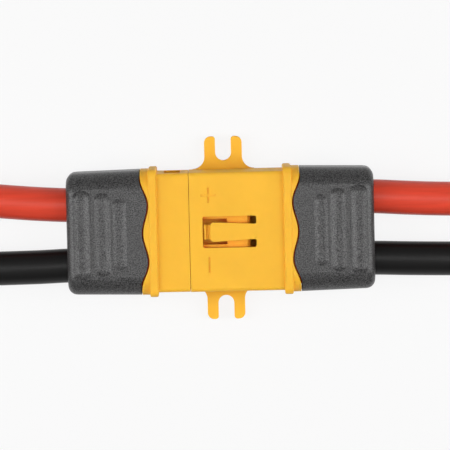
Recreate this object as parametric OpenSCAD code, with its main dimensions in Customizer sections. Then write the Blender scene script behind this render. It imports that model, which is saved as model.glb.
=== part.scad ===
// High-current battery connector: a latched pair of two-pole halves with grey
// sheaths over the solder joints, screw ears on the socket and short silicone leads.
// Millimetres. X runs along the leads, Y across the poles with the positive pole
// on +Y, Z up. The origin is under the middle of the pair, on the mounting plane.

/* [Contacts] */
// Distance between the two poles
pole_pitch = 8.0; // [7.6:0.1:9]
// Diameter of the split pins
pin_d = 3.5; // [3:0.1:3.8]
// Outer diameter of the contact bodies and their solder cups
contact_od = 4.6; // [4.4:0.1:5]
// Radial room between a pin and the tube that it plugs into
pin_fit = 0.02; // [0.01:0.01:0.05]
// Radial room between a contact and its bore in the housing
contact_fit = 0.03; // [0.01:0.01:0.06]
// Width of the two crossing slots in a pin
pin_slot = 0.4; // [0.2:0.05:0.6]
// Length of the slots in a pin
pin_slot_l = 5.4; // [3:0.1:6]
// Length of the tapered nose of a pin
pin_nose = 0.7; // [0.4:0.1:1]
// How far the pins stay inside the mouth of the shroud
pin_inset = 1.5; // [1:0.1:2.5]
// Room past the tip of a pin in its tube
pin_spare = 0.6; // [0.3:0.1:1]
// How far the tubes stay inside the end of the plug nose
tube_inset = 0.35; // [0.2:0.05:0.6]
// Radial room of a pin in the mouth of the plug nose
mouth_fit = 0.06; // [0.04:0.01:0.12]
// Thickness of the lip that stops a pin's body in the socket
bore_lip = 0.7; // [0.5:0.1:1]
// Solid length between the housing's tail and the floor of a solder cup
cup_web = 0.3; // [0.1:0.1:0.6]
// Bore of the solder cups
cup_bore = 3.3; // [3:0.05:3.5]
// Length of the solder cups
cup_l = 3.5; // [2.5:0.1:4]
// Room on each side of the solder in a cup
solder_fit = 0.02; // [0.01:0.01:0.04]
// Length of the sloping end of the solder
meniscus_l = 0.5; // [0.3:0.1:0.8]
// Wall of the solder at its thin end
meniscus_edge = 0.05; // [0.03:0.01:0.08]

/* [Housings] */
// Plastic between a contact and the side of the plug nose
nose_side = 0.6; // [0.5:0.025:1]
// Plastic above and below a contact in the plug nose
nose_cover = 0.85; // [0.7:0.05:1.2]
// Room between the plug nose and the shroud, on each side
nose_fit = 0.1; // [0.05:0.01:0.2]
// Wall of the shroud
shroud_wall = 0.85; // [0.7:0.05:1.2]
// Chamfer on the two negative corners of the plug nose
key_chamfer = 1.5; // [0.8:0.1:1.8]
// Rounding along the outside of both housings
edge_r = 0.55; // [0.3:0.05:0.8]
// How far the plug collar stays inside the shroud's outline
collar_step = 0.04; // [0.02:0.01:0.2]
// Distance from the middle to the inner face of each flange
flange_x = 8.3; // [8:0.1:9.5]
// Thickness of the flanges
flange_t = 1.1; // [0.8:0.1:1.6]
// Height of the flanges above the shroud
flange_rise = 0.55; // [0.4:0.05:0.8]
// Rounding of the corners of a flange
flange_corner_r = 1.1; // [0.6:0.1:1.6]
// Rounding of the rims of a flange
flange_rim_r = 0.28; // [0.1:0.02:0.4]
// Distance from the middle to the line where the halves meet
mate_x = 4.08; // [3.8:0.02:4.6]
// Gap between the halves at that line
mate_gap = 0.06; // [0.04:0.01:0.25]
// Length of the plug nose
nose_l = 8.0; // [7.6:0.1:8.6]
// Chamfer round the end of the plug nose
nose_chamfer = 0.4; // [0.2:0.05:0.6]
// Depth of the shroud's cavity past the end of the plug nose
cavity_extra = 1.75; // [1.2:0.05:2.5]
// Length of the rear part of a housing, inside its sheath
tail_l = 3.5; // [3:0.1:4]
// Plastic round the contacts in the rear part of a housing
tail_wall = 0.95; // [0.8:0.05:1.05]
// Rounding along the rear part of a housing
tail_r = 1.9; // [1:0.1:2.2]
// Distance from a flange to the snap ribs that hold its sheath
snap_back = 2.3; // [2:0.1:2.8]
// Radius of the snap ribs
snap_r = 0.4; // [0.3:0.05:0.5]
// How far the snap ribs stand out
snap_out = 0.2; // [0.1:0.02:0.25]
// Length of the shallow recess in the positive side of the collar
recess_l = 2.1; // [1.6:0.1:2.4]
// Height of that recess
recess_h = 6.0; // [4:0.1:6.6]
// Depth of that recess
recess_depth = 0.3; // [0.1:0.05:0.4]
// Distance of that recess from the front of the collar
recess_inset = 1.1; // [0.8:0.1:1.4]
// Diameter of the gate mark on the negative side of the collar
gate_d = 0.5; // [0.3:0.1:0.8]
// How far the gate mark stands out
gate_h = 0.15; // [0.05:0.05:0.2]
// Distance of the gate mark from the front of the collar
gate_inset = 1.9; // [1.4:0.1:2.6]

/* [Latch] */
// Distance from the mouth of the shroud to the latch window
window_inset = 1.7; // [1.5:0.05:2]
// Width of the latch window at the tip of the tongue
window_w = 4.14; // [3.8:0.02:4.4]
// Length of the latch window
window_l = 7.04; // [6.6:0.02:7.4]
// Rounding of the window's corners and of the notches beside the tongue's root
notch_r = 0.25; // [0.1:0.05:0.3]
// Rounding of the tongue's tip
tip_r = 0.45; // [0.2:0.05:0.6]
// Width of the tongue at its tip
tongue_tip_w = 2.55; // [2.3:0.05:2.8]
// Width of the tongue at its root
tongue_root_w = 2.04; // [1.8:0.02:2.4]
// Distance from the window's front edge to the tip of the full tongue
tongue_back = 1.0; // [0.8:0.05:1.3]
// Length of the lifting lip in front of the tongue
lip_l = 0.86; // [0.6:0.02:0.95]
// Width of the lifting lip and of the catch under the tongue
lip_w = 1.95; // [1.6:0.05:2.1]
// Drop from the tongue's top to the lifting lip
lip_drop = 0.3; // [0.2:0.05:0.5]
// How far the catch reaches below the tongue
catch_h = 0.65; // [0.5:0.05:0.8]
// Length of the catch along its flat bottom
catch_l = 0.9; // [0.6:0.1:1.2]
// Play between the catch and the pocket that it locks in
catch_play = 0.18; // [0.1:0.02:0.3]
// Width of the pocket in the plug nose
pocket_w = 3.4; // [2.6:0.1:3.4]
// Depth of the pocket in the plug nose
pocket_h = 1.9; // [1.4:0.05:2]
// Length of the pocket behind the front edge of the window
pocket_l = 3.21; // [3:0.01:3.4]
// Length of the pocket ahead of that edge
pocket_lead = 0.2; // [0.1:0.05:0.4]

/* [Ears] */
// Distance across the tips of both ears
ear_span = 24.3; // [22.5:0.1:26]
// Width of an ear
ear_w = 5.0; // [4.4:0.1:6]
// Thickness of an ear
ear_t = 1.5; // [1.2:0.1:2]
// Distance from the middle to the ears' centre line
ear_x = 0.53; // [0:0.01:1]
// Width of the screw slot
slot_w = 2.1; // [2:0.05:2.4]
// Depth of the screw slot from the ear's tip
slot_l = 3.2; // [2.8:0.1:3.5]
// Rounding of the corners at the mouth of the screw slot
slot_mouth_r = 0.4; // [0.1:0.05:0.5]
// Rounding of the outer corners of an ear
ear_corner_r = 0.85; // [0.4:0.05:1.1]
// Fillet where an ear meets the housing, as far as there is room for it
ear_fillet = 1.6; // [0.8:0.1:2]

/* [Sheaths] */
// How far a sheath stands out past the shroud's outline at its front
sheath_rise = 0.38; // [0.2:0.02:0.5]
// How much a sheath narrows on each side towards its back
sheath_taper = 0.25; // [0.1:0.05:0.4]
// Distance from a flange to the back of its sheath
sheath_l = 10.8; // [10.2:0.1:12]
// Rounding along a sheath
sheath_r = 2.7; // [2.3:0.1:3.2]
// Rounding of a sheath's back edge
sheath_back_r = 1.2; // [0.6:0.1:1.5]
// Wall at the back of a sheath, round the leads
sheath_back_wall = 2.2; // [1.6:0.1:2.6]
// Room between a sheath and the housing inside it
sheath_fit = 0.1; // [0.05:0.01:0.15]
// Gap along the wavy front edge of a sheath
wave_gap = 0.1; // [0.05:0.01:0.2]
// Distance of the two humps of the wavy edge from the middle
hump_y = 3.75; // [3.2:0.05:4.2]
// Gap between a hump and the flange
hump_gap = 0.1; // [0.05:0.01:0.2]
// Depth of the wavy edge at its middle
wave_mid = 0.72; // [0.4:0.02:0.9]
// Depth of the wavy edge at the sides
wave_side = 1.05; // [0.6:0.05:1.3]
// Distance of each grip groove from the back of a sheath
grip_x = [2.05, 4.75, 7.0]; // [1.5:0.05:7.5]
// Length of each grip groove
grip_l = [11.9, 11.0, 9.4]; // [8:0.1:12.4]
// Depth of each grip groove
grip_depth = [0.5, 0.37, 0.25]; // [0.1:0.01:0.6]
// Radius of the grip grooves
grip_r = 1.7; // [1.4:0.1:2.4]

/* [Leads] */
// Outer diameter of the leads
lead_d = 4.5; // [4:0.1:4.5]
// Diameter of the stranded conductor
core_d = 2.5; // [2.2:0.1:2.7]
// Radial room of a lead in its sheath
lead_fit = 0.35; // [0.32:0.01:0.45]
// Length of bare conductor between a solder cup and the silicone
strip_gap = 0.4; // [0.2:0.1:0.6]
// Length of the tinned ends
tip_l = 5; // [3:0.5:8]

/* [Hidden] */
$fn = 64;
ring_sides = 12;
wave_steps = 48;
overlap = 0.3;
cap_step = 0.01;

// Widths and heights, from the contacts outwards
nose_w = pole_pitch + contact_od + 2 * nose_side;
nose_h = contact_od + 2 * nose_cover;
shroud_w = nose_w + 2 * (nose_fit + shroud_wall);
shroud_h = nose_h + 2 * (nose_fit + shroud_wall);
collar_w = shroud_w - 2 * collar_step;
collar_h = shroud_h - 2 * collar_step;
flange_w = shroud_w + 2 * flange_rise;
flange_h = shroud_h + 2 * flange_rise;
axis_z = flange_h / 2;
pole_y = pole_pitch / 2;
shroud_top = axis_z + shroud_h / 2;
cavity_top = shroud_top - shroud_wall;

// Places along X; the plug's rear half is the socket's mirrored
shroud_front = -mate_x + mate_gap / 2;
collar_front = -mate_x - mate_gap / 2;
nose_end = collar_front + nose_l;
cavity_floor = nose_end + cavity_extra;
flange_back = flange_x + flange_t;
hump_x = flange_back + hump_gap;
tail_end = flange_back + tail_l;
cup_end = tail_end + cup_l;
cup_floor = tail_end + cup_web;
sheath_back = flange_back + sheath_l;
pocket_back = sheath_back - sheath_back_wall;
lead_start = cup_end + strip_gap;
pin_tip = shroud_front + pin_inset;
tube_floor = pin_tip - pin_spare;
tube_front = nose_end - tube_inset;

// Sheath and the rear of a housing inside it
sheath_front_w = shroud_w + 2 * sheath_rise;
sheath_h = shroud_h + 2 * sheath_rise;
sheath_bend = sheath_back - sheath_back_r;
sheath_lean = atan(sheath_taper / (sheath_back - hump_x));
tail_w = pole_pitch + contact_od + 2 * tail_wall;
tail_h = contact_od + 2 * tail_wall;
snap_x = flange_back + snap_back;
snap_y = tail_w / 2 + snap_out - snap_r;
snap_h = tail_h / 2;

// Latch window and tongue
window_front = shroud_front + window_inset;
window_back = window_front + window_l;
tongue_tip = window_front + tongue_back;
pocket_front = window_front - pocket_lead;
pocket_end = window_front + pocket_l;
catch_face = pocket_end - catch_play;

// Route of each lead, from its solder cup out of the sheath and down to rest
plug_red_route = [
    [-16.8, 3.72, 4.65], [-20.2, 3.72, 4.65], [-24, 3.95, 4.6], [-27.5, 4.25, 4.45], [-31, 4.58, 4.18],
    [-34.5, 4.92, 3.8], [-38, 5.28, 3.38], [-41.5, 5.64, 3], [-45, 5.96, 2.68], [-48.5, 6.27, 2.45],
    [-52, 6.53, 2.35], [-55.5, 6.72, 2.3], [-59, 6.84, 2.3], [-62, 6.9, 2.3], [-65, 6.9, 2.3]];
plug_black_route = [
    [-16.8, -4.3, 4.65], [-20.2, -4.3, 4.65], [-24, -4.42, 4.6], [-27.5, -4.48, 4.45], [-31, -4.53, 4.18],
    [-34.5, -4.58, 3.8], [-38, -4.64, 3.38], [-41.5, -4.71, 3], [-45, -4.79, 2.68], [-48.5, -4.87, 2.45],
    [-52, -4.95, 2.35], [-55.5, -5.02, 2.3], [-59, -5.07, 2.3], [-62, -5.1, 2.3], [-65, -5.1, 2.3]];
socket_red_route = [
    [16.8, 3.97, 4.65], [20.2, 3.97, 4.65], [24, 3.73, 4.6], [27.5, 3.52, 4.45], [31, 3.37, 4.18],
    [34.5, 3.22, 3.8], [38, 3.06, 3.38], [41.5, 2.9, 3], [45, 2.76, 2.68], [48.5, 2.64, 2.45],
    [52, 2.54, 2.35], [55.5, 2.47, 2.3], [59, 2.42, 2.3], [62, 2.4, 2.3], [65, 2.4, 2.3]];
socket_black_route = [
    [16.8, -4.17, 4.65], [20.2, -4.17, 4.65], [24, -4.31, 4.6], [27.5, -4.43, 4.45], [31, -4.54, 4.18],
    [34.5, -4.64, 3.8], [38, -4.74, 3.38], [41.5, -4.83, 3], [45, -4.91, 2.68], [48.5, -4.98, 2.45],
    [52, -5.03, 2.35], [55.5, -5.07, 2.3], [59, -5.09, 2.3], [62, -5.1, 2.3], [65, -5.1, 2.3]];

// Colours
housing_yellow = "#ffbe46";
sheath_grey = "#5a5a5a";
contact_gold = "#d8ac4c";
solder_silver = "#b8babd";
lead_red = "#c8402f";
lead_black = "#2b2725";

// Helpers

// Rectangle with rounded corners, centred
module rounded_rect(w, h, r) {
    square([w - 2 * r, h], center = true);
    square([w, h - 2 * r], center = true);
    for (x = [-1, 1], y = [-1, 1])
        translate([x * (w / 2 - r), y * (h / 2 - r)])
            circle(r);
}

// The flat children drawn across the connector and drawn out from x0 to x1
module along_x(x0, x1) {
    translate([x0, 0, axis_z])
        rotate([90, 0, 90])
            linear_extrude(x1 - x0)
                children();
}

// Round bar on the axis of one pole, from x0 to x1
module pole_bar(x0, x1, d, y = 0) {
    translate([x0, y, axis_z])
        rotate([0, 90, 0])
            cylinder(h = x1 - x0, d = d);
}

// What a rounding of radius r takes away from a corner at the origin, on its +X +Y side
module corner_cut(r) {
    difference() {
        square(r);
        translate([r, r])
            circle(r);
    }
}

// Outline that the plug nose and the shroud's cavity share, with the keyed negative side
module keyed_outline(grow) {
    w = nose_w / 2 + grow;
    h = nose_h / 2 + grow;
    cut = key_chamfer + grow * (2 - sqrt(2));
    polygon([[w, -h], [w, h], [-w + cut, h], [-w, h - cut], [-w, cut - h], [cut - w, -h]]);
}

// Front edge of a sheath: two humps that almost reach the flange
function wave_x(y) =
    let (depth = abs(y) < hump_y ? wave_mid : wave_side)
    let (turn = 180 * (min(abs(y), 2 * hump_y) - hump_y) / hump_y)
    hump_x + depth * (1 - cos(turn)) / 2;

// Everything on the flange's side of the wavy edge, which is moved out by shift
module wave_block(shift) {
    half = flange_w;
    edge = [for (i = [0 : wave_steps])
        let (y = 2 * hump_y * (2 * i / wave_steps - 1))
        [wave_x(y) + shift, y]];
    points = concat(
        [[flange_x, -half], [wave_x(half) + shift, -half]],
        edge,
        [[wave_x(half) + shift, half], [flange_x, half]]);
    linear_extrude(flange_h)
        polygon(points);
}

// Plate between a housing and its sheath, with rounded rims
module flange() {
    middle = flange_x + flange_t / 2;
    intersection() {
        along_x(flange_x, flange_back)
            rounded_rect(flange_w, flange_h, flange_corner_r);
        translate([middle, 0, 0])
            linear_extrude(flange_h)
                rounded_rect(flange_t, flange_w, flange_rim_r);
        translate([middle, flange_w / 2, axis_z])
            rotate([90, 0, 0])
                linear_extrude(flange_w)
                    rounded_rect(flange_t, flange_h, flange_rim_r);
    }
}

// Flange, wavy shoulder and tail, the same on both halves
module housing_rear() {
    flange();
    intersection() {
        along_x(flange_x + flange_t / 2, flange_back + wave_side + hump_gap)
            rounded_rect(sheath_front_w, sheath_h, sheath_r);
        wave_block(-wave_gap);
    }
    along_x(flange_x + flange_t / 2, tail_end)
        rounded_rect(tail_w, tail_h, tail_r);
    for (side = [-1, 1])
        translate([snap_x, side * snap_y, axis_z])
            cylinder(h = snap_h, r = snap_r, center = true);
}

// Bar along Y with ball ends
module capsule(half, r) {
    rotate([90, 0, 0])
        rotate_extrude()
            intersection() {
                translate([0, -half - r])
                    square([r, 2 * (half + r)]);
                union() {
                    translate([-r, -half])
                        square([2 * r, 2 * half]);
                    for (side = [-1, 1])
                        translate([0, side * half])
                            circle(r);
                }
            }
}

// Hollow of one grip groove, on top of a sheath
module grip_cut(i) {
    half_w = sqrt(grip_r * grip_r - pow(grip_r - grip_depth[i], 2));
    translate([sheath_back - grip_x[i], 0, axis_z + sheath_h / 2 + grip_r - grip_depth[i]])
        capsule(grip_l[i] / 2 - half_w, grip_r);
}

// Half width of a sheath at x
function sheath_half(x) = sheath_front_w / 2 - (x - hump_x) * tan(sheath_lean);

// Bar along a sheath that leans in with its +Y side and is rounded along that side
module leaning_bar() {
    reach = sheath_half(hump_x) * cos(sheath_lean);
    translate([hump_x, 0, axis_z])
        rotate([90, 0, 90 - sheath_lean])
            translate([0, 0, -sheath_r])
                linear_extrude(sheath_l + 2 * sheath_r) {
                    translate([-flange_w, -sheath_h / 2])
                        square([flange_w + reach - sheath_r, sheath_h]);
                    translate([-flange_w, sheath_r - sheath_h / 2])
                        square([flange_w + reach, sheath_h - 2 * sheath_r]);
                    for (side = [-1, 1])
                        translate([reach - sheath_r, side * (sheath_h / 2 - sheath_r)])
                            circle(sheath_r);
                }
}

// Tapered length of a sheath
module sheath_barrel() {
    intersection() {
        leaning_bar();
        mirror([0, 1, 0])
            leaning_bar();
        translate([hump_x, -flange_w / 2, 0])
            cube([sheath_bend - hump_x, flange_w, flange_h]);
    }
}

// Section through the rounded back of a sheath, along X and outwards by reach
module back_section(reach) {
    flat = reach - sheath_back_r;
    translate([sheath_bend - overlap, 0]) {
        square([overlap, reach]);
        square([overlap + sheath_back_r, flat]);
    }
    translate([sheath_bend, flat])
        intersection() {
            circle(sheath_back_r);
            square(sheath_back_r);
        }
}

// Rounded back of a sheath: a middle block, a block on each side and a turned piece at each corner
module sheath_cap() {
    half_h = sheath_h / 2 - cap_step;
    corner_r = sheath_r - cap_step;
    corner_y = sheath_half(sheath_bend) - cap_step - corner_r;
    corner_z = half_h - corner_r;
    for (y = [0, 1], z = [0, 1])
        translate([0, 0, axis_z])
            mirror([0, y, 0])
                mirror([0, 0, z]) {
                    translate([0, corner_y, 0])
                        rotate([90, 0, 0])
                            linear_extrude(corner_y)
                                back_section(half_h);
                    translate([0, corner_y, 0])
                        linear_extrude(corner_z)
                            back_section(corner_r);
                    translate([0, corner_y, corner_z])
                        rotate([0, 90, 0])
                            mirror([1, 0, 0])
                                rotate_extrude(angle = 90)
                                    mirror([1, -1])
                                        back_section(corner_r);
                }
}

// Outside of a sheath
module sheath_block() {
    sheath_barrel();
    sheath_cap();
}

// Sheath pushed over the rear of a housing, on the +X side
module sheath() {
    difference() {
        sheath_block();
        wave_block(0);
        along_x(flange_x, pocket_back)
            rounded_rect(tail_w + 2 * sheath_fit, tail_h + 2 * sheath_fit, tail_r + sheath_fit);
        for (side = [-1, 1]) {
            pole_bar(pocket_back - overlap, sheath_back + overlap, lead_d + 2 * lead_fit, side * pole_y);
            translate([snap_x, side * snap_y, axis_z])
                cylinder(h = snap_h + 2 * sheath_fit, r = snap_r + sheath_fit, center = true);
        }
        for (i = [0 : len(grip_x) - 1]) {
            grip_cut(i);
            translate([0, 0, 2 * axis_z])
                mirror([0, 0, 1])
                    grip_cut(i);
        }
    }
}

// Solder cup at the rear of a contact, with its scooped mouth
module cup_hollow() {
    pole_bar(cup_floor, cup_end + overlap, cup_bore);
    translate([cup_end - cup_l / 2, -contact_od, axis_z])
        cube([cup_l, 2 * contact_od, contact_od]);
}

// Solder that fills a cup round the conductor
module solder() {
    inner = core_d / 2 + solder_fit;
    outer = cup_bore / 2 - solder_fit;
    length = cup_end - cup_floor - 2 * solder_fit;
    translate([cup_floor + solder_fit, 0, axis_z])
        rotate([0, 90, 0])
            rotate_extrude()
                polygon([
                    [inner, 0], [outer, 0], [outer, length - meniscus_l],
                    [inner + meniscus_edge, length], [inner, length]]);
}

// Stripped end of a lead inside its cup
module core() {
    pole_bar(cup_floor + solder_fit, lead_start, core_d);
}

// Bores for both contacts through a housing's rear, with a lip that stops them at the front
module contact_bores(lip_x, front_x, front_d) {
    for (side = [-1, 1]) {
        pole_bar(lip_x, tail_end + overlap, contact_od + 2 * contact_fit, side * pole_y);
        pole_bar(front_x - overlap, lip_x + overlap, front_d, side * pole_y);
    }
}

// Tube swept along a route
function unit(v) = v / norm(v);
function heading(route, i) = unit(route[min(i + 1, len(route) - 1)] - route[max(i - 1, 0)]);
function ring(route, i, r) =
    let (ahead = heading(route, i))
    let (across = unit(cross([0, 0, 1], ahead)))
    let (up = cross(ahead, across))
    [for (k = [0 : ring_sides - 1])
        let (a = 360 * k / ring_sides)
        route[i] + r * (cos(a) * across + sin(a) * up)];

module swept_tube(route, d) {
    last = len(route) - 1;
    points = [for (i = [0 : last]) each ring(route, i, d / 2)];
    sides = [for (i = [0 : last - 1], k = [0 : ring_sides - 1])
        let (n = (k + 1) % ring_sides)
        let (a = i * ring_sides)
        let (b = a + ring_sides)
        each [[a + k, b + k, b + n], [a + k, b + n, a + n]]];
    ends = [
        [for (k = [0 : ring_sides - 1]) k],
        [for (k = [ring_sides - 1 : -1 : 0]) last * ring_sides + k]];
    polyhedron(points, concat(sides, ends), convexity = 4);
}

// Tinned end past the last point of a route
module lead_tip(route, direction) {
    translate(route[len(route) - 1])
        rotate([0, 90 * direction, 0])
            cylinder(h = tip_l, d = core_d);
}

// Socket half, on the right

module ear(side) {
    root = shroud_w / 2 - edge_r - overlap;
    tip = ear_span / 2;
    slot_y = tip - slot_l + slot_w / 2;
    face = shroud_w / 2;
    fillet = min(ear_fillet, ear_x - ear_w / 2 - shroud_front);
    translate([ear_x, 0, 0])
        mirror([0, side < 0 ? 1 : 0, 0])
            linear_extrude(ear_t)
                difference() {
                    union() {
                        translate([-ear_w / 2, root])
                            square([ear_w, tip - ear_corner_r - root]);
                        translate([ear_corner_r - ear_w / 2, root])
                            square([ear_w - 2 * ear_corner_r, tip - root]);
                        for (x = [-1, 1])
                            translate([x * (ear_w / 2 - ear_corner_r), tip - ear_corner_r])
                                circle(ear_corner_r);
                        translate([-ear_w / 2 - fillet, root])
                            square([ear_w + 2 * fillet, face + fillet - root]);
                    }
                    for (x = [-1, 1])
                        translate([x * (ear_w / 2 + fillet), face + fillet])
                            circle(fillet);
                    translate([0, slot_y])
                        circle(slot_w / 2);
                    translate([-slot_w / 2, slot_y])
                        square([slot_w, slot_l]);
                    for (x = [0, 1])
                        mirror([x, 0])
                            translate([slot_w / 2, tip])
                                mirror([0, 1])
                                    corner_cut(slot_mouth_r);
                }
}

// Opening in the shroud's top round the tongue, with a round-ended notch beside each side of its root
module window_outline() {
    difference() {
        translate([(window_front + window_back) / 2, 0])
            rounded_rect(window_l, window_w, notch_r);
        for (side = [0, 1])
            mirror([0, side])
                translate([window_back, tongue_root_w / 2])
                    mirror([1, 0])
                        corner_cut(notch_r);
    }
}

module socket_housing() {
    color(housing_yellow)
        difference() {
            union() {
                along_x(shroud_front, flange_x + flange_t / 2)
                    rounded_rect(shroud_w, shroud_h, edge_r);
                housing_rear();
                ear(1);
                ear(-1);
            }
            along_x(shroud_front - overlap, cavity_floor)
                keyed_outline(nose_fit);
            contact_bores(cavity_floor + bore_lip, cavity_floor, pin_d + 2 * contact_fit);
            translate([0, 0, cavity_top - overlap])
                linear_extrude(shroud_wall + 2 * overlap)
                    window_outline();
        }
}

// Springy tongue of the shroud's top, with its lifting lip and the catch below
module latch_tongue() {
    tip_half = tongue_tip_w / 2;
    root_half = tongue_root_w / 2;
    color(housing_yellow) {
        difference() {
            union() {
                translate([0, 0, cavity_top])
                    linear_extrude(shroud_wall) {
                        polygon([
                            [tongue_tip + tip_r, -tip_half], [window_back - 2 * notch_r, -root_half],
                            [window_back, -root_half], [window_back, root_half],
                            [window_back - 2 * notch_r, root_half], [tongue_tip + tip_r, tip_half]]);
                        translate([tongue_tip, tip_r - tip_half])
                            square([2 * tip_r, tongue_tip_w - 2 * tip_r]);
                        for (side = [-1, 1])
                            translate([tongue_tip + tip_r, side * (tip_half - tip_r)])
                                circle(tip_r);
                    }
                translate([tongue_tip - lip_l, -lip_w / 2, cavity_top])
                    cube([lip_l + tip_r, lip_w, shroud_wall - lip_drop]);
                translate([0, lip_w / 2, cavity_top])
                    rotate([90, 0, 0])
                        linear_extrude(lip_w)
                            polygon([
                                [catch_face, overlap], [catch_face, -catch_h],
                                [catch_face - catch_l, -catch_h],
                                [tongue_tip - lip_l, -nose_fit / 2], [tongue_tip - lip_l, overlap]]);
            }
            translate([tongue_tip - lip_drop, 0, shroud_top - lip_drop])
                rotate([90, 0, 0])
                    cylinder(h = 2 * lip_w, r = lip_drop, center = true);
        }
    }
}

module socket_sheath() {
    color(sheath_grey)
        sheath();
}

module socket_pin(side) {
    color(contact_gold)
        translate([0, side * pole_y, 0])
            difference() {
                union() {
                    pole_bar(pin_tip + pin_nose, cavity_floor + bore_lip + contact_fit, pin_d);
                    translate([pin_tip, 0, axis_z])
                        rotate([0, 90, 0])
                            cylinder(h = pin_nose, d1 = pin_d - pin_nose, d2 = pin_d);
                    pole_bar(cavity_floor + bore_lip + contact_fit, cup_end, contact_od);
                }
                for (turn = [0, 90])
                    translate([pin_tip, 0, axis_z])
                        rotate([turn, 0, 0])
                            translate([-overlap, -pin_slot / 2, -pin_d])
                                cube([pin_slot_l + overlap, pin_slot, 2 * pin_d]);
                cup_hollow();
            }
}

module socket_solder(side) {
    color(solder_silver)
        translate([0, side * pole_y, 0])
            solder();
}

module socket_core(side) {
    color(solder_silver)
        translate([0, side * pole_y, 0])
            core();
}

// Plug half, on the left

// Nose of the plug, with a chamfer round its end
module plug_nose() {
    back = collar_front - overlap;
    shoulder = nose_end - nose_chamfer;
    intersection() {
        along_x(back, nose_end)
            keyed_outline(0);
        linear_extrude(flange_h)
            polygon([
                [back, -nose_w / 2], [shoulder, -nose_w / 2], [nose_end, nose_chamfer - nose_w / 2],
                [nose_end, nose_w / 2 - nose_chamfer], [shoulder, nose_w / 2], [back, nose_w / 2]]);
        translate([0, nose_w / 2, axis_z])
            rotate([90, 0, 0])
                linear_extrude(nose_w)
                    polygon([
                        [back, -nose_h / 2], [shoulder, -nose_h / 2], [nose_end, nose_chamfer - nose_h / 2],
                        [nose_end, nose_h / 2 - nose_chamfer], [shoulder, nose_h / 2], [back, nose_h / 2]]);
    }
}

module plug_housing() {
    color(housing_yellow)
        difference() {
            union() {
                along_x(-flange_x - flange_t / 2, collar_front)
                    rounded_rect(collar_w, collar_h, edge_r);
                plug_nose();
                mirror([1, 0, 0])
                    housing_rear();
                translate([collar_front - gate_inset, overlap - collar_w / 2, axis_z])
                    rotate([90, 0, 0])
                        cylinder(h = overlap + gate_h, d = gate_d);
            }
            mirror([1, 0, 0])
                contact_bores(-tube_front - contact_fit, -nose_end, pin_d + 2 * mouth_fit);
            translate([pocket_front, -pocket_w / 2, cavity_top - nose_fit - pocket_h])
                cube([pocket_end - pocket_front, pocket_w, pocket_h + overlap]);
            translate([collar_front - recess_inset - recess_l, collar_w / 2 - recess_depth, axis_z])
                translate([0, 0, -recess_h / 2])
                    cube([recess_l, recess_depth + overlap, recess_h]);
        }
}

module plug_sheath() {
    color(sheath_grey)
        mirror([1, 0, 0])
            sheath();
}

module plug_contact(side) {
    color(contact_gold)
        translate([0, side * pole_y, 0])
            difference() {
                pole_bar(-cup_end, tube_front, contact_od);
                pole_bar(tube_floor, tube_front + overlap, pin_d + 2 * pin_fit);
                mirror([1, 0, 0])
                    cup_hollow();
            }
}

module plug_solder(side) {
    color(solder_silver)
        translate([0, side * pole_y, 0])
            mirror([1, 0, 0])
                solder();
}

module plug_core(side) {
    color(solder_silver)
        translate([0, side * pole_y, 0])
            mirror([1, 0, 0])
                core();
}

module lead(route, tint) {
    color(tint)
        swept_tube(route, lead_d);
}

module tip(route, direction) {
    color(solder_silver)
        lead_tip(route, direction);
}

socket_housing();
latch_tongue();
socket_sheath();
socket_pin(1);  // socket_pin_positive
socket_pin(-1);  // socket_pin_negative
socket_solder(1);  // socket_solder_positive
socket_solder(-1);  // socket_solder_negative
socket_core(1);  // socket_core_positive
socket_core(-1);  // socket_core_negative
lead(socket_red_route, lead_red);  // socket_lead_red
lead(socket_black_route, lead_black);  // socket_lead_black
tip(socket_red_route, 1);  // socket_tip_red
tip(socket_black_route, 1);  // socket_tip_black
plug_housing();
plug_sheath();
plug_contact(1);  // plug_contact_positive
plug_contact(-1);  // plug_contact_negative
plug_solder(1);  // plug_solder_positive
plug_solder(-1);  // plug_solder_negative
plug_core(1);  // plug_core_positive
plug_core(-1);  // plug_core_negative
lead(plug_red_route, lead_red);  // plug_lead_red
lead(plug_black_route, lead_black);  // plug_lead_black
tip(plug_red_route, -1);  // plug_tip_red
tip(plug_black_route, -1);  // plug_tip_black
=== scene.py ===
# Looks of a latched battery connector pair: moulded housings, sheaths, leads, contacts and studio
import math
import random

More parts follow.
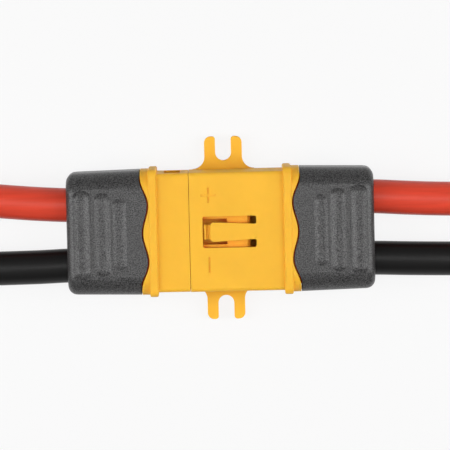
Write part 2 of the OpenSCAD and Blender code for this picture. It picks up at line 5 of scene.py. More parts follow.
import bmesh
import bpy
import numpy as np
from bpy.props import FloatProperty, FloatVectorProperty, IntProperty, PointerProperty
from mathutils import Euler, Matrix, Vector


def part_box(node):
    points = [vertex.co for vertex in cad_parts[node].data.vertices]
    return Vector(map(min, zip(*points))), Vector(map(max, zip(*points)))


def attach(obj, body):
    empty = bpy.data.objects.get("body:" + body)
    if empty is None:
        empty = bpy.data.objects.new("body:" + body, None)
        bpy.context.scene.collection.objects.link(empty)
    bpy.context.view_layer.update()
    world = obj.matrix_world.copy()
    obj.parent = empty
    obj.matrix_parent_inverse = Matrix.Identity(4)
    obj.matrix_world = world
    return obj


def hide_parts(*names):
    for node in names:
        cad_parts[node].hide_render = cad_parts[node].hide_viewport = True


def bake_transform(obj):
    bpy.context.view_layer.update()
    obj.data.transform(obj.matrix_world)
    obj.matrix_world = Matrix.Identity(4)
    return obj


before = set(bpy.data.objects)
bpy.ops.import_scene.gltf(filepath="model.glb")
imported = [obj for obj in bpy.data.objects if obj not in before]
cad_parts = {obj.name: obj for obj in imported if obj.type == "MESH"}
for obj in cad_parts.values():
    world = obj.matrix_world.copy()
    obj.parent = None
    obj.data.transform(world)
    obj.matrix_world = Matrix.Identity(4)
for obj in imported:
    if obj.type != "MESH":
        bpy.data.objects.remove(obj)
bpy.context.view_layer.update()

bl_info = {
    "name": "Battery Connector Looks",
    "version": (1, 0, 0),
    "blender": (4, 5, 0),
    "location": "View3D > Sidebar > Connector",
    "description": "Dresses a latched two-pole battery connector in nylon, silicone, gold and tin",
    "category": "Object",
}

MM = 0.001

SOCKET = "socket_half"
PLUG = "plug_half"
HALVES = {"socket": (SOCKET, 1), "plug": (PLUG, -1)}
POLES = ("positive", "negative")
LEADS = ("red", "black")

# Routes of the leads: stations along X and heights are shared, and each lead bends sideways its own way
LEAD_X = (16.8, 20.2, 24, 27.5, 31, 34.5, 38, 41.5, 45, 48.5, 52, 55.5, 59, 62, 65)
LEAD_Z = (4.65, 4.65, 4.6, 4.45, 4.18, 3.8, 3.38, 3, 2.68, 2.45, 2.35, 2.3, 2.3, 2.3, 2.3)
LEAD_Y = {
    "plug_red": (
        3.72, 3.72, 3.95, 4.25, 4.58, 4.92, 5.28, 5.64,
        5.96, 6.27, 6.53, 6.72, 6.84, 6.9, 6.9),
    "plug_black": (
        -4.3, -4.3, -4.42, -4.48, -4.53, -4.58, -4.64, -4.71,
        -4.79, -4.87, -4.95, -5.02, -5.07, -5.1, -5.1),
    "socket_red": (
        3.97, 3.97, 3.73, 3.52, 3.37, 3.22, 3.06, 2.9,
        2.76, 2.64, 2.54, 2.47, 2.42, 2.4, 2.4),
    "socket_black": (
        -4.17, -4.17, -4.31, -4.43, -4.54, -4.64, -4.74, -4.83,
        -4.91, -4.98, -5.03, -5.07, -5.09, -5.1, -5.1),
}

# Meshing: on a sheath, edges from RIM_ANGLE to STEEP_ANGLE are groove rims, and steeper ones moulded edges
WELD = 1e-6
SAME_POINT = 5e-8
FLAT_ANGLE = math.radians(0.4)
SHARP_ANGLE = math.radians(34)
RIM_ANGLE = math.radians(19)
STEEP_ANGLE = 2 * SHARP_ANGLE
ROUND_STEPS = 2
ROUND_PROFILE = 0.5
BEND_CUTS = 8

# Share of the joint's reach that also counts as joint in front of the sheath
JOINT_MARGIN = 0.1

# Leads: the round at a cut end has one middle point, CUT_MIDDLE of its size away from both faces
LEAD_SIDES = 48
LEAD_SPAN_STEPS = 8
CUT_ROUND = 0.12 * MM
CUT_MIDDLE = 0.3
BORE_CLEARANCE = 0.03 * MM

# Strands: the rounded end is given as places before the end and radii, both in strand radii
STRAND_SIDES = 8
STRAND_STEPS = 10
STRANDS_PER_LAYER = 6
STRAND_SWELL = 1.03
STRAND_END = ((0.3, 0.8), (0, 0.35))
STRAND_UNEVEN = 0.12 * MM

# Finishes: sizes and relief in metres, tones as factors of the colour, spans of a pattern's own values
WHITE = (1, 1, 1)
NOISE_SPAN = (0.3, 0.7)
TONE_SPAN = (0.35, 0.65)
OPENNESS_SAMPLES = 8
CLOUD_SIZE = 5 * MM
CLOUD_TONES = (0.97, 1.03)
# Painted shade on the housings: the yellow is deepened to a dark red-orange in crevices and gaps, where
# shadow falls
PAINTED_SHADE_REACH = 2 * MM
PAINTED_SHADE_COLOUR = (0.75, 0.08, 0.01)
PAINTED_SHADE_SPAN = (0.14, 0.47)
SKIN_SIZE = 0.12 * MM
SKIN_ROUGHNESS = (0.42, 0.56)
SKIN_RELIEF = 0.004 * MM
GRAIN_SIZE = 0.15 * MM
GRAIN_TONES = (0.05, 2.4)
GRAIN_SPAN = (0.36, 0.66)
GRAIN_ROUGHNESS = (0.42, 0.3)
GRAIN_RELIEF = 0.025 * MM
# Painted light on the sheaths: open faces are darkened by the tone below, so that the grooves and their ends
# look lit
GROOVE_LIGHT_REACH = 0.8 * MM
GROOVE_LIGHT_SPAN = (0.82, 1)
OPEN_FACE_TONE = (0.4, 0.4, 0.4)
STREAK_SIZE = 0.5 * MM
STREAK_STRETCH = (0.06, 1, 1)
STREAK_TONES = (0.93, 1.07)
BLOOM_SIZE = 0.1 * MM
BLOOM_ROUGHNESS = (0.32, 0.4)
BLOOM_RELIEF = 0.004 * MM
METAL_TONES = (0.92, 1.05)
METAL_ROUGHNESS = (0.8, 1.25)

# Camera
SENSOR_WIDTH = 36
CLIP_NEAR = 0.01
CLIP_FAR = 10


def length_property(name, description, default):
    """A length in metres, shown to the micrometre"""
    return FloatProperty(name=name, description=description, default=default, unit="LENGTH", precision=6)


def angle_property(name, description, degrees):
    """An angle given in degrees"""
    return FloatProperty(
        name=name, description=description, default=math.radians(degrees), subtype="ANGLE")


def power_property(name, description, default):
    """Power of a lamp in watts"""
    return FloatProperty(name=name, description=description, default=default, min=0, unit="POWER")


def share_property(name, description, default):
    """A share between 0 and 1"""
    return FloatProperty(name=name, description=description, default=default, min=0, max=1)


def colour_property(name, description, default):
    """A colour in linear red, green and blue"""
    return FloatVectorProperty(
        name=name, description=description, default=default, subtype="COLOR", min=0, max=1)


class ConnectorSizes(bpy.types.PropertyGroup):
    """Sizes that the looks add to the solids"""

    edge_round: length_property("Edge rounding", "Rounding of the moulded edges", 0.09 * MM)
    groove_round: length_property("Groove rounding", "Rounding of the rims of the grip grooves", 0.16 * MM)
    joint_relief: length_property(
        "Joint relief", "How far the wavy edge of a sheath is trimmed back", 0.12 * MM)
    joint_reach: length_property(
        "Joint reach", "How far the wave of the joint reaches along the leads", 2 * MM)
    contact_round: length_property("Contact rounding", "Rounding of the turned contact edges", 0.05 * MM)
    bend_length: length_property("Latch bend", "Length at the tongue's root that bends", 2.4 * MM)
    mark_x: length_property("Mark place", "Place of the polarity marks along the leads", -1.55 * MM)
    plus_y: length_property("Plus place", "Middle of the plus across the poles", 4.86 * MM)
    minus_y: length_property("Minus place", "Middle of the minus across the poles", -4.29 * MM)
    mark_length: length_property("Mark length", "Length of a stroke of the marks", 1.95 * MM)
    mark_width: length_property("Mark width", "Width of a stroke of the marks", 0.24 * MM)
    mark_depth: length_property("Mark depth", "Depth of the marks in the plastic", 0.13 * MM)
    lead_diameter: length_property("Lead diameter", "Outside of the silicone", 4.5 * MM)
    lead_length: length_property("Lead length", "Insulated length from the solder cup on", 48.4 * MM)
    core_diameter: length_property("Core diameter", "Across the stranded conductor", 2.5 * MM)
    strand_layers: IntProperty(
        name="Strand layers", description="Rings of strands round the middle one", default=4, min=2, max=6)
    strand_lay: length_property("Lay length", "Length of one full twist of the strands", 26 * MM)
    strip_depth: length_property(
        "Strip depth", "How far the strands show inside the cut insulation", 0.7 * MM)


class ConnectorColours(bpy.types.PropertyGroup):
    """Colours of the finishes"""

    housing: colour_property("Housing yellow", "Moulded nylon of both housings", (0.93, 0.503, 0.044))
    # Grey as the grooves show it; the sheath finish darkens it on open faces as painted light
    sheath: colour_property("Sheath grey", "Matt nylon of both sheaths", (0.075, 0.0735, 0.0738))
    red: colour_property("Lead red", "Silicone of the positive leads", (0.67, 0.056, 0.026))
    black: colour_property("Lead black", "Silicone of the negative leads", (0.0035, 0.0033, 0.0032))
    gold: colour_property("Contact gold", "Plating of the pins and tubes", (0.90, 0.62, 0.23))
    solder: colour_property("Solder", "Solder in the cups", (0.62, 0.63, 0.65))
    tin: colour_property("Tinned copper", "Tinned strands", (0.70, 0.70, 0.71))
    floor: colour_property("Floor", "Paper under the connector, as it is seen", (0.955, 0.955, 0.955))
    bounce: colour_property(
        "Floor bounce", "Light that the paper throws back at the connector", (0.8, 0.8, 0.8))


class ConnectorStudio(bpy.types.PropertyGroup):
    """Camera and light"""

    camera_distance: length_property("Camera distance", "From the lens to the top of the connector", 0.5)
    frame_width: length_property(
        "Frame width", "Width of the picture at the top of the connector", 58.95 * MM)
    tilt: angle_property("Tilt", "Lean of the camera towards the positive side", 4.24)
    roll: angle_property("Roll", "Turn of the connector in the picture", 1.3)
    aim_x: length_property("Aim along", "Middle of the picture along the leads", 0.59 * MM)
    aim_y: length_property("Aim across", "Middle of the picture across the poles", 0.912 * MM)
    sky: share_property("Sky level", "Even light from all round", 0.03)
    horizon: share_property("Horizon level", "Brightness of the reflected sky at the horizon", 0.15)
    horizon_top: share_property("Horizon top", "Rise of a reflection above which the sky is white", 0.85)
    horizon_foot: share_property(
        "Horizon foot", "Rise of a reflection up to which the sky has the horizon's level", 0.1)
    side_power: power_property("Side power", "Power of the softbox at each end of the connector", 0.3)
    side_width: length_property("Side width", "Width of the softboxes at the ends", 0.1)
    side_length: length_property("Side length", "Length of the softboxes at the ends, from low to high", 0.2)
    side_reach: length_property(
        "Side distance", "From the connector to each of them, along the leads", 0.153)
    side_height: length_property("Side height", "Height of the softboxes at the ends", 0.129)
    top_power: power_property("Top power", "Power of the softbox beside the camera", 0.28)
    top_size: length_property("Top size", "Edge of the softbox beside the camera", 0.12)
    top_height: length_property("Top height", "Height of the softbox beside the camera", 0.42)
    top_shift: length_property("Top shift", "Place of that softbox across the poles", 0.02)
    low_power: power_property("Low power", "Power of the low softbox beside each pole", 0.05)
    low_width: length_property("Low width", "Width of the low softboxes", 0.3)
    low_length: length_property("Low length", "Length of the low softboxes, from low to high", 0.06)
    low_reach: length_property("Low distance", "From the connector to each of them, across the poles", 0.3)
    low_height: length_property("Low height", "Height of the low softboxes", 0.036)
    floor_reach: length_property("Floor reach", "From the connector to each edge of the floor", 3)
    floor_drop: length_property(
        "Floor drop", "How far the paper lies under the flanges, so that no faces coincide", 0.02 * MM)
    floor_glow: share_property(
        "Floor evenness", "Share of the floor's shade that the paper's own white takes", 0.9)


def sizes():
    """Sizes set in the scene"""
    return bpy.context.scene.connector_sizes


def colours():
    """Colours set in the scene"""
    return bpy.context.scene.connector_colours


def studio():
    """Camera and light settings of the scene"""
    return bpy.context.scene.connector_studio


# Materials


class Finish:
    """A material under construction: its nodes, links and surface shader"""

    def __init__(self, name):
        self.material = bpy.data.materials.new(name)
        self.material.use_nodes = True
        self.nodes = self.material.node_tree.nodes
        self.links = self.material.node_tree.links
        self.shader = self.nodes["Principled BSDF"]
        self.place = self.nodes.new("ShaderNodeTexCoord").outputs["Object"]

    def set(self, **values):
        """Fixed values of the surface shader, by socket name with underscores"""
        for key, value in values.items():
            self.shader.inputs[key.replace("_", " ")].default_value = value

    def noise(self, size, detail, stretch=None):
        """Noise whose grains are about the given size across"""
        node = self.nodes.new("ShaderNodeTexNoise")
        node.inputs["Scale"].default_value = 1 / size
        node.inputs["Detail"].default_value = detail
        source = self.place
        if stretch:
            mapping = self.nodes.new("ShaderNodeMapping")
            mapping.inputs["Scale"].default_value = stretch
            self.links.new(source, mapping.inputs["Vector"])
            source = mapping.outputs["Vector"]
        self.links.new(source, node.inputs["Vector"])
        return node.outputs["Fac"]

    def ramp(self, factor, low, high, span=TONE_SPAN):
        """Colour ramp between two colours over a span of the factor"""
        node = self.nodes.new("ShaderNodeValToRGB")
        for element, position, colour in zip(node.color_ramp.elements, span, (low, high)):
            element.position = position
            element.color = (*colour, 1)
        self.links.new(factor, node.inputs["Fac"])
        return node.outputs["Color"]

    def spread(self, factor, values):
        """A noise moved into a range of values"""
        node = self.nodes.new("ShaderNodeMapRange")
        node.inputs["From Min"].default_value, node.inputs["From Max"].default_value = NOISE_SPAN
        node.inputs["To Min"].default_value, node.inputs["To Max"].default_value = values
        self.links.new(factor, node.inputs["Value"])
        return node.outputs["Result"]

    def bump(self, height, depth):
        """Fine relief of the given depth in metres"""
        node = self.nodes.new("ShaderNodeBump")
        node.inputs["Strength"].default_value = 1
        node.inputs["Distance"].default_value = depth
        self.links.new(height, node.inputs["Height"])
        return node.outputs["Normal"]

    def openness(self, reach):
        """A factor of 1 on open faces, less where other faces stand close, 0 deep in a gap"""
        node = self.nodes.new("ShaderNodeAmbientOcclusion")
        node.samples = OPENNESS_SAMPLES
        node.inputs["Distance"].default_value = reach
        return node.outputs["AO"]

    def product(self, first, second):
        """Two colours multiplied"""
        node = self.nodes.new("ShaderNodeMixRGB")
        node.blend_type = "MULTIPLY"
        node.inputs["Fac"].default_value = 1
        self.links.new(first, node.inputs["Color1"])
        self.links.new(second, node.inputs["Color2"])
        return node.outputs["Color"]

    def feed(self, socket, output):
        """Link an output to a socket of the surface shader"""
        self.links.new(output, self.shader.inputs[socket])


def toned(colour, factors):
    """A colour made darker or lighter by each of the factors"""
    return [tuple(min(1.0, c * factor) for c in colour) for factor in factors]


def housing_nylon(title):
    """Satin moulded nylon with faint flow clouds, painted shade (a deep red-orange) in crevices and gaps,
    and a fine skin
    """
    finish = Finish(title)
    finish.set(
        Specular_IOR_Level=0.12, Subsurface_Weight=0.2, Subsurface_Scale=0.5 * MM,
        Subsurface_Radius=(1.0, 0.6, 0.2))
    clouds = finish.noise(CLOUD_SIZE, detail=3)
    tone = finish.ramp(clouds, *toned(colours().housing, CLOUD_TONES))
    # Painted shade: the colour turns dark red-orange where other faces stand close, in the latch pocket and
    # gaps
    depth = finish.ramp(finish.openness(PAINTED_SHADE_REACH), PAINTED_SHADE_COLOUR, WHITE, PAINTED_SHADE_SPAN)
    finish.feed("Base Color", finish.product(tone, depth))
    skin = finish.noise(SKIN_SIZE, detail=3)
    finish.feed("Roughness", finish.spread(skin, SKIN_ROUGHNESS))
    finish.feed("Normal", finish.bump(skin, SKIN_RELIEF))
    return finish.material


def sheath_nylon(title):
    """Matt nylon from a spark-eroded mould, speckled where the grains catch light, with painted light in its
    grooves: hollows keep the full grey and open faces are darkened
    """
    finish = Finish(title)
    finish.set(Specular_IOR_Level=0.37)
    grain = finish.noise(GRAIN_SIZE, detail=1)
    tone = finish.ramp(grain, *toned(colours().sheath, GRAIN_TONES), GRAIN_SPAN)
    # Painted light: grooves and their ends keep the full grey, open faces are darkened
    groove_light = finish.ramp(finish.openness(GROOVE_LIGHT_REACH), WHITE, OPEN_FACE_TONE, GROOVE_LIGHT_SPAN)
    finish.feed("Base Color", finish.product(tone, groove_light))
    finish.feed("Roughness", finish.spread(grain, GRAIN_ROUGHNESS))
    finish.feed("Normal", finish.bump(grain, GRAIN_RELIEF))
    return finish.material


def silicone(title, colour, gloss):
    """Soft silicone rubber with a dull bloom and long extrusion streaks"""
    finish = Finish(title)
    finish.set(Specular_IOR_Level=gloss)
    streaks = finish.noise(STREAK_SIZE, detail=3, stretch=STREAK_STRETCH)
    finish.feed("Base Color", finish.ramp(streaks, *toned(colour, STREAK_TONES)))
    bloom = finish.noise(BLOOM_SIZE, detail=2)
    finish.feed("Roughness", finish.spread(bloom, BLOOM_ROUGHNESS))
    finish.feed("Normal", finish.bump(bloom, BLOOM_RELIEF))
    return finish.material


def plated_metal(title, colour, roughness, grain_size, relief):
    """Bare or plated metal with a fine uneven surface"""
    finish = Finish(title)
    finish.set(Metallic=1.0)
    grain = finish.noise(grain_size, detail=3)
    finish.feed("Base Color", finish.ramp(grain, *toned(colour, METAL_TONES)))
    finish.feed("Roughness", finish.spread(grain, [roughness * factor for factor in METAL_ROUGHNESS]))
    finish.feed("Normal", finish.bump(grain, relief))
    return finish.material


def red_silicone(title):
    """Insulation of the positive leads"""
    return silicone(title, colours().red, gloss=0.26)


def black_silicone(title):
    """Insulation of the negative leads"""
    return silicone(title, colours().black, gloss=0.16)


def contact_gold(title):
    """Gold plating on turned brass"""
    return plated_metal(title, colours().gold, roughness=0.22, grain_size=0.3 * MM, relief=0.001 * MM)


def cup_solder(title):
    """Flowed solder"""
    return plated_metal(title, colours().solder, roughness=0.32, grain_size=0.5 * MM, relief=0.01 * MM)


def tinned_copper(title):
    """Tinned copper strands"""
    return plated_metal(title, colours().tin, roughness=0.3, grain_size=0.2 * MM, relief=0.004 * MM)


FINISHES = {
    "housing_nylon": ("Housing nylon", housing_nylon),
    "sheath_nylon": ("Sheath nylon", sheath_nylon),
    "red_silicone": ("Red silicone", red_silicone),
    "black_silicone": ("Black silicone", black_silicone),
    "contact_gold": ("Contact gold", contact_gold),
    "solder": ("Cup solder", cup_solder),
    "tinned_copper": ("Tinned strands", tinned_copper),
}


def dress(obj, slot):
    """Give an object the finish of one of the record's slots"""
    title, maker = FINISHES[slot]
    obj.data.materials.clear()
    obj.data.materials.append(bpy.data.materials.get(title) or maker(title))


# Meshes


def new_object(name, mesh):
    """An object with this mesh in the scene"""
    obj = bpy.data.objects.new(name, mesh)
    bpy.context.scene.collection.objects.link(obj)
    return obj


def object_from(name, verts, faces):
    """A smooth-shaded object from points and faces"""
    mesh = bpy.data.meshes.new(name)
    mesh.from_pydata([tuple(v) for v in verts], [], faces)
    mesh.shade_smooth()
    return new_object(name, mesh)


def spline(points, steps):
    """Points of a smooth line through the given ones"""
    p = np.array(points, float)
    p = np.vstack([2 * p[0] - p[1], p, 2 * p[-1] - p[-2]])
    line = []
    for i in range(1, len(p) - 2):
        a, b, c, d = p[i - 1], p[i], p[i + 1], p[i + 2]
        for t in np.arange(steps) / steps:
            line.append(0.5 * (2 * b + (c - a) * t + (2 * a - 5 * b + 4 * c - d) * t**2
                               + (3 * b - a - 3 * c + d) * t**3))
    line.append(p[-2])
    return np.array(line)


def directions(line):
    """Unit vectors along a line of points"""
    ahead = np.gradient(line, axis=0)
    ahead /= np.linalg.norm(ahead, axis=1)[:, None]
    return ahead


def ring_faces(rings, sides, start=0):
    """Faces between consecutive rings of points, with a cap at both ends"""
    faces = []
    for i in range(rings - 1):
        for k in range(sides):
            n = (k + 1) % sides
            a = start + i * sides
            faces.append((a + k, a + n, a + sides + n, a + sides + k))
    last = start + (rings - 1) * sides
    faces.append(tuple(start + k for k in reversed(range(sides))))
    faces.append(tuple(last + k for k in range(sides)))
    return faces


def ring_points(centre, ahead, radius, sides):
    """A ring of points round a line"""
    across = np.cross((0, 0, 1), ahead)
    across /= np.linalg.norm(across)
    up = np.cross(ahead, across)
    turn = np.arange(sides) * 2 * math.pi / sides
    return centre + radius * (np.outer(np.cos(turn), across) + np.outer(np.sin(turn), up))


def solid_copy(node):
    """A welded mesh of a CAD node, with its flat faces joined"""
    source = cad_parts[node].data
    bm = bmesh.new()
    for v in source.vertices:
        bm.verts.new(v.co)
    bm.verts.ensure_lookup_table()
    for polygon in source.polygons:
        bm.faces.new([bm.verts[i] for i in polygon.vertices])
    bmesh.ops.remove_doubles(bm, verts=bm.verts, dist=WELD)
    bmesh.ops.dissolve_limit(bm, angle_limit=FLAT_ANGLE, verts=bm.verts, edges=bm.edges)
    return bm


def round_edges(bm, width, low=SHARP_ANGLE, high=math.pi, skips=()):
    """Round the edges whose faces turn by an angle in this range, apart from those that a skip picks"""
    chosen = [
        edge for edge in bm.edges
        if edge.is_manifold and low < edge.calc_face_angle() <= high
        and not any(skip(edge) for skip in skips)]
    bmesh.ops.bevel(
        bm, geom=chosen, offset=width, offset_type="OFFSET", segments=ROUND_STEPS, profile=ROUND_PROFILE,
        affect="EDGES", clamp_overlap=True)


def cut_across(bm, stations):
    """Cut a mesh across at places along X, so that it can bend there"""
    for x in stations:
        bmesh.ops.bisect_plane(
            bm, geom=[*bm.verts, *bm.edges, *bm.faces], dist=WELD, plane_co=(x, 0, 0), plane_no=(1, 0, 0))


def piece_from(bm, name, node, slot):
    """A piece in the scene that stands for a CAD node"""
    bmesh.ops.remove_doubles(bm, verts=bm.verts, dist=SAME_POINT)
    mesh = bpy.data.meshes.new(name)
    bm.to_mesh(mesh)
    bm.free()
    piece = new_object(name, mesh)
    dress(piece, slot)
    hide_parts(node)
    return piece


def smooth_faces(piece):
    """Smooth shading between sharp edges, with flat faces kept flat"""
    piece.data.shade_smooth()
    piece.data.set_sharp_from_angle(angle=SHARP_ANGLE)
    normals = piece.modifiers.new("flat faces", "WEIGHTED_NORMAL")
    normals.keep_sharp = True


def latch_root():
    """Top of the tongue's root and half the root's width"""
    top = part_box("latch_tongue")[1]
    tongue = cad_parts["latch_tongue"].data
    root = [v.co.y for v in tongue.vertices if abs(v.co.x - top.x) < WELD]
    return Vector((top.x, 0, top.z)), max(root)


def in_joint(half):
    """A test for the points along the wavy joint between a sheath and its housing"""
    low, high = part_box(f"{half}_sheath")
    front = min(abs(low.x), abs(high.x))
    reach = sizes().joint_reach
    return lambda point: front - JOINT_MARGIN * reach < abs(point.co.x) < front + reach


def in_root():
    """A test for the points where the tongue grows out of the shroud"""
    root, half = latch_root()
    return lambda point: abs(point.co.x - root.x) < WELD and abs(point.co.y) < half + WELD


def edges_where(test):
    """A test for the edges whose points all pass a test for points"""
    return lambda edge: all(map(test, edge.verts))


# Operators


class CONNECTOR_OT_stage(bpy.types.Operator):
    """Floor, light and camera"""

    bl_idname = "connector.stage"
    bl_label = "Stage"

    def execute(self, context):
        context.scene.view_settings.view_transform = "Standard"
        self.make_camera(context.scene)
        self.make_floor()
        self.make_world(context.scene)
        s = studio()
        for side in (-1, 1):
            place = (side * s.side_reach, 0, s.side_height)
            self.make_softbox(place, s.side_width, s.side_length, s.side_power)
            place = (0, side * s.low_reach, s.low_height)
            self.make_softbox(place, s.low_width, s.low_length, s.low_power)
        self.make_softbox((0, s.top_shift, s.top_height), s.top_size, s.top_size, s.top_power)
        return {"FINISHED"}

    def make_camera(self, scene):
        """Camera almost straight above, as in the photograph"""
        s = studio()
        data = bpy.data.cameras.new("camera")
        data.sensor_width = SENSOR_WIDTH
        data.lens = data.sensor_width * s.camera_distance / s.frame_width
        data.clip_start = CLIP_NEAR
        data.clip_end = CLIP_FAR
        camera = bpy.data.objects.new("camera", data)
        scene.collection.objects.link(camera)
        camera.rotation_euler = (-s.tilt, 0, -s.roll)
        aim = Vector((s.aim_x, s.aim_y, latch_root()[0].z))
        back = Euler(camera.rotation_euler).to_matrix() @ Vector((0, 0, s.camera_distance))
        camera.location = aim + back
        scene.camera = camera

    def seen_white(self, nodes, links):
        """A factor of 1 for rays that see the background, and 0 for rays that carry its light"""
        path = nodes.new("ShaderNodeLightPath")
        total = path.outputs["Is Camera Ray"]
        for ray in ("Is Glossy Ray", "Is Transmission Ray"):
            either = nodes.new("ShaderNodeMath")
            either.operation = "MAXIMUM"
            links.new(total, either.inputs[0])
            links.new(path.outputs[ray], either.inputs[1])
            total = either.outputs[0]
        return total

    def make_floor(self):
        """Wide pale paper that keeps a soft shadow"""
        reach = studio().floor_reach
        level = -studio().floor_drop
        corners = ((-1, -1), (1, -1), (1, 1), (-1, 1))
        floor = object_from("floor", [(x * reach, y * reach, level) for x, y in corners], [(0, 1, 2, 3)])
        material = bpy.data.materials.new("floor_paper")
        material.use_nodes = True
        nodes, links = material.node_tree.nodes, material.node_tree.links
        nodes.clear()
        seen = self.seen_white(nodes, links)
        tint = nodes.new("ShaderNodeMixRGB")
        tint.inputs["Color1"].default_value = (*colours().bounce, 1)
        tint.inputs["Color2"].default_value = (*colours().floor, 1)
        links.new(seen, tint.inputs["Fac"])
        paper = nodes.new("ShaderNodeBsdfDiffuse")
        links.new(tint.outputs["Color"], paper.inputs["Color"])
        white = nodes.new("ShaderNodeEmission")
        white.inputs["Color"].default_value = (*colours().floor, 1)
        white.inputs["Strength"].default_value = 1
        share = nodes.new("ShaderNodeMath")
        share.operation = "MULTIPLY"
        share.inputs[1].default_value = studio().floor_glow
        links.new(seen, share.inputs[0])
        mix = nodes.new("ShaderNodeMixShader")
        links.new(share.outputs[0], mix.inputs["Fac"])
        links.new(paper.outputs[0], mix.inputs[1])
        links.new(white.outputs[0], mix.inputs[2])
        out = nodes.new("ShaderNodeOutputMaterial")
        links.new(mix.outputs[0], out.inputs["Surface"])
        floor.data.materials.append(material)

    def make_world(self, scene):
        """Even light, white where it is looked at and darker at the horizon where it is reflected"""
        world = bpy.data.worlds.new("studio")
        world.use_nodes = True
        scene.world = world
        nodes, links = world.node_tree.nodes, world.node_tree.links
        nodes.clear()
        light = nodes.new("ShaderNodeBackground")
        light.inputs["Strength"].default_value = studio().sky
        white = nodes.new("ShaderNodeBackground")
        for node in (light, white):
            node.inputs["Color"].default_value = (*WHITE, 1)
        links.new(self.sky_level(nodes, links), white.inputs["Strength"])
        mix = nodes.new("ShaderNodeMixShader")
        links.new(self.seen_white(nodes, links), mix.inputs["Fac"])
        links.new(light.outputs[0], mix.inputs[1])
        links.new(white.outputs[0], mix.inputs[2])
        out = nodes.new("ShaderNodeOutputWorld")
        links.new(mix.outputs[0], out.inputs["Surface"])

    def sky_level(self, nodes, links):
        """White as it is seen, and darker towards the horizon where a surface reflects it"""
        s = studio()
        rise = nodes.new("ShaderNodeSeparateXYZ")
        links.new(nodes.new("ShaderNodeTexCoord").outputs["Generated"], rise.inputs["Vector"])
        fade = nodes.new("ShaderNodeMapRange")
        fade.inputs["From Min"].default_value = s.horizon_foot
        fade.inputs["From Max"].default_value = s.horizon_top
        fade.inputs["To Min"].default_value = s.horizon
        links.new(rise.outputs["Z"], fade.inputs["Value"])
        level = nodes.new("ShaderNodeMath")
        level.operation = "MAXIMUM"
        links.new(nodes.new("ShaderNodeLightPath").outputs["Is Camera Ray"], level.inputs[0])
        links.new(fade.outputs["Result"], level.inputs[1])
        return level.outputs[0]

    def make_softbox(self, place, width, length, power):
        """Flat lamp that faces the connector"""
        data = bpy.data.lights.new("softbox", "AREA")
        data.energy = power
        data.shape = "RECTANGLE"
        data.size = width
        data.size_y = length
        lamp = bpy.data.objects.new("softbox", data)
        bpy.context.scene.collection.objects.link(lamp)
        lamp.location = place
        lamp.rotation_euler = (-lamp.location).to_track_quat("-Z", "Y").to_euler()


class CONNECTOR_OT_leads(bpy.types.Operator):
    """Silicone leads with their tinned strands"""

    bl_idname = "connector.leads"
    bl_label = "Leads"

    def execute(self, context):
        for half, (body, side) in HALVES.items():
            for colour in LEADS:
                sideways = LEAD_Y[f"{half}_{colour}"]
                route = [(side * x * MM, y * MM, z * MM) for x, y, z in zip(LEAD_X, sideways, LEAD_Z)]
                line = spline(route, LEAD_SPAN_STEPS)
                low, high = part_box(f"{half}_tip_{colour}")
                strands = self.make_strands(f"{half}_{colour}_strands", line[-1], side, high.x - low.x)
                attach(strands, body)
                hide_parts(f"{half}_tip_{colour}")
                lead = self.make_lead(f"{half}_{colour}_silicone", line, f"{colour}_silicone")
                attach(lead, body)
                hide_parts(f"{half}_lead_{colour}")
        return {"FINISHED"}

    def make_lead(self, name, line, slot):
        """Insulation along a line, cut square at its far end with the bore open"""
        radius = sizes().lead_diameter / 2
        bore = sizes().core_diameter / 2 + BORE_CLEARANCE
        ahead = directions(line)
        rings = [(p, a, radius) for p, a in zip(line[:-1], ahead[:-1])]
        end, out = line[-1], ahead[-1]
        middle = CUT_MIDDLE * CUT_ROUND
        for back, inset in ((CUT_ROUND, 0), (middle, middle), (0, CUT_ROUND)):
            rings.append((end - back * out, out, radius - inset))
        rings.append((end, out, bore + CUT_ROUND))
        rings.append((end - CUT_ROUND * out, out, bore))
        rings.append((end - sizes().strip_depth * out, out, bore))
        verts = np.vstack([ring_points(p, a, r, LEAD_SIDES) for p, a, r in rings])
        lead = object_from(name, verts, ring_faces(len(rings), LEAD_SIDES))
        lead.data.set_sharp_from_angle(angle=SHARP_ANGLE)
        dress(lead, slot)
        return lead

    def make_strands(self, name, start, side, bare):
        """Twisted strands of a tinned end, in rings round the middle one"""
        s = sizes()
        strands_across = 2 * s.strand_layers + 1
        strand_r = s.core_diameter / (2 * strands_across)
        length = bare + s.strip_depth
        radii = [strand_r * STRAND_SWELL] * STRAND_STEPS + [strand_r * size for _, size in STRAND_END]
        draw = random.Random(name)
        verts, faces = [], []
        for layer in range(s.strand_layers + 1):
            off = 2 * strand_r * layer
            count = max(1, STRANDS_PER_LAYER * layer)
            for k in range(count):
                reach = length - draw.uniform(0, STRAND_UNEVEN)
                stations = [
                    *np.linspace(0, reach - strand_r, STRAND_STEPS),
                    *(reach - back * strand_r for back, _ in STRAND_END)]
                line = []
                for x in stations:
                    turn = 2 * math.pi * k / count + 2 * math.pi * x / s.strand_lay
                    line.append((side * (x - s.strip_depth), off * math.cos(turn), off * math.sin(turn)))
                line = np.array(line) + start
                faces += ring_faces(len(line), STRAND_SIDES, len(verts))
                for p, a, r in zip(line, directions(line), radii):
                    verts += list(ring_points(p, a, r, STRAND_SIDES))
        strands = object_from(name, verts, faces)
        dress(strands, "tinned_copper")
        return strands


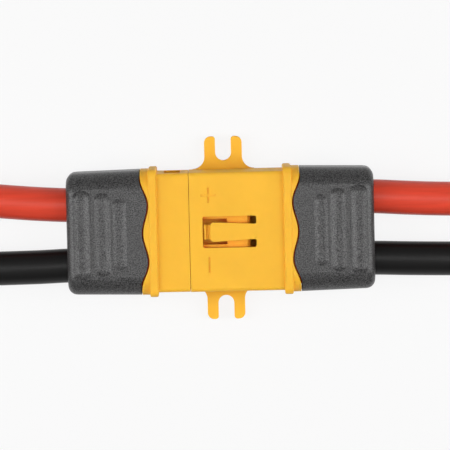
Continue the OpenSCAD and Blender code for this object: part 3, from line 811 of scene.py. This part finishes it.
class CONNECTOR_OT_housings(bpy.types.Operator):
    """Yellow housings of the plug and the socket, with the polarity marks"""

    bl_idname = "connector.housings"
    bl_label = "Housings"

    def execute(self, context):
        for half, (body, _) in HALVES.items():
            bm = solid_copy(f"{half}_housing")
            crisp = (edges_where(in_root()), edges_where(in_joint(half)))
            round_edges(bm, sizes().edge_round, skips=crisp)
            piece = piece_from(bm, f"{half}_shell", f"{half}_housing", "housing_nylon")
            if half == "socket":
                self.engrave(context, piece)
            smooth_faces(piece)
            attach(piece, body)
        return {"FINISHED"}

    def engrave(self, context, shell):
        """Cut the plus and the minus into the shroud's top"""
        s = sizes()
        top = latch_root()[0].z
        a, b = s.mark_width / 2, s.mark_length / 2
        # The plus is one arm, turned on by a quarter four times
        plus = []
        arm = [(b, -a), (b, a), (a, a)]
        for _ in range(4):
            plus += arm
            arm = [(-v, u) for u, v in arm]
        minus = [(a, -b), (a, b), (-a, b), (-a, -b)]
        verts, faces = [], []
        for outline, y in ((plus, s.plus_y), (minus, s.minus_y)):
            faces += ring_faces(2, len(outline), len(verts))
            for height in (top - s.mark_depth, top + s.mark_depth):
                verts += [(s.mark_x + u, y + v, height) for u, v in outline]
        cutter = object_from("strokes", verts, faces)
        cut = shell.modifiers.new("marks", "BOOLEAN")
        cut.operation = "DIFFERENCE"
        cut.solver = "EXACT"
        cut.object = cutter
        context.view_layer.update()
        evaluated = shell.evaluated_get(context.evaluated_depsgraph_get())
        cut_mesh = bpy.data.meshes.new_from_object(evaluated)
        shell.modifiers.remove(cut)
        shell.data = cut_mesh
        bpy.data.objects.remove(cutter)


class CONNECTOR_OT_latch(bpy.types.Operator):
    """Springy tongue of the socket, cut across near its root so that it can bend there"""

    bl_idname = "connector.latch"
    bl_label = "Latch"

    def execute(self, context):
        root, _ = latch_root()
        bend = sizes().bend_length
        bm = solid_copy("latch_tongue")
        round_edges(bm, sizes().edge_round, skips=(edges_where(in_root()),))
        cut_across(bm, [root.x - bend * i / BEND_CUTS for i in range(1, BEND_CUTS + 1)])
        piece = piece_from(bm, "latch_spring", "latch_tongue", "housing_nylon")
        smooth_faces(piece)
        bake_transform(piece)
        return {"FINISHED"}


class CONNECTOR_OT_sheaths(bpy.types.Operator):
    """Grey sheaths over the solder joints"""

    bl_idname = "connector.sheaths"
    bl_label = "Sheaths"

    def execute(self, context):
        s = sizes()
        for half, (body, side) in HALVES.items():
            joint = in_joint(half)
            crisp = (edges_where(joint),)
            bm = solid_copy(f"{half}_sheath")
            round_edges(bm, s.groove_round, RIM_ANGLE, STEEP_ANGLE, skips=crisp)
            round_edges(bm, s.edge_round, STEEP_ANGLE, skips=crisp)
            low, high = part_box(f"{half}_sheath")
            for v in filter(joint, bm.verts):
                inside = min(v.co.y - low.y, high.y - v.co.y) / s.joint_reach
                v.co.x += side * s.joint_relief * min(1, inside)
            piece = piece_from(bm, f"{half}_boot", f"{half}_sheath", "sheath_nylon")
            smooth_faces(piece)
            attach(piece, body)
        return {"FINISHED"}


class CONNECTOR_OT_contacts(bpy.types.Operator):
    """Gold contacts, their solder and the stripped cores"""

    bl_idname = "connector.contacts"
    bl_label = "Contacts"

    def execute(self, context):
        for half, (body, _) in HALVES.items():
            kind = "pin" if half == "socket" else "contact"
            for pole in POLES:
                bm = solid_copy(f"{half}_{kind}_{pole}")
                round_edges(bm, sizes().contact_round)
                piece = piece_from(bm, f"{half}_{pole}_terminal", f"{half}_{kind}_{pole}", "contact_gold")
                smooth_faces(piece)
                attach(piece, body)
                dress(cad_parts[f"{half}_solder_{pole}"], "solder")
                dress(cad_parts[f"{half}_core_{pole}"], "tinned_copper")
        return {"FINISHED"}


class CONNECTOR_PT_panel(bpy.types.Panel):
    """Sidebar panel of the connector"""

    bl_idname = "CONNECTOR_PT_panel"
    bl_label = "Battery connector"
    bl_space_type = "VIEW_3D"
    bl_region_type = "UI"
    bl_category = "Connector"

    def draw(self, context):
        for step in STEPS:
            self.layout.operator(step.bl_idname)
        for group in (sizes(), colours(), studio()):
            box = self.layout.box()
            for key in group.__annotations__:
                box.prop(group, key)


STEPS = (
    CONNECTOR_OT_stage,
    CONNECTOR_OT_leads,
    CONNECTOR_OT_housings,
    CONNECTOR_OT_latch,
    CONNECTOR_OT_sheaths,
    CONNECTOR_OT_contacts,
)
GROUPS = {
    "connector_sizes": ConnectorSizes,
    "connector_colours": ConnectorColours,
    "connector_studio": ConnectorStudio,
}


def register():
    """Register the groups, operators and panel"""
    for name, group in GROUPS.items():
        bpy.utils.register_class(group)
        setattr(bpy.types.Scene, name, PointerProperty(type=group))
    for cls in (*STEPS, CONNECTOR_PT_panel):
        bpy.utils.register_class(cls)


def unregister():
    """Take everything back out"""
    for cls in (CONNECTOR_PT_panel, *reversed(STEPS)):
        bpy.utils.unregister_class(cls)
    for name, group in GROUPS.items():
        delattr(bpy.types.Scene, name)
        bpy.utils.unregister_class(group)


def main():
    """Make every piece in order"""
    register()
    bpy.ops.connector.stage()
    bpy.ops.connector.leads()
    bpy.ops.connector.housings()
    bpy.ops.connector.latch()
    bpy.ops.connector.sheaths()
    bpy.ops.connector.contacts()


if __name__ == "__main__":
    main()
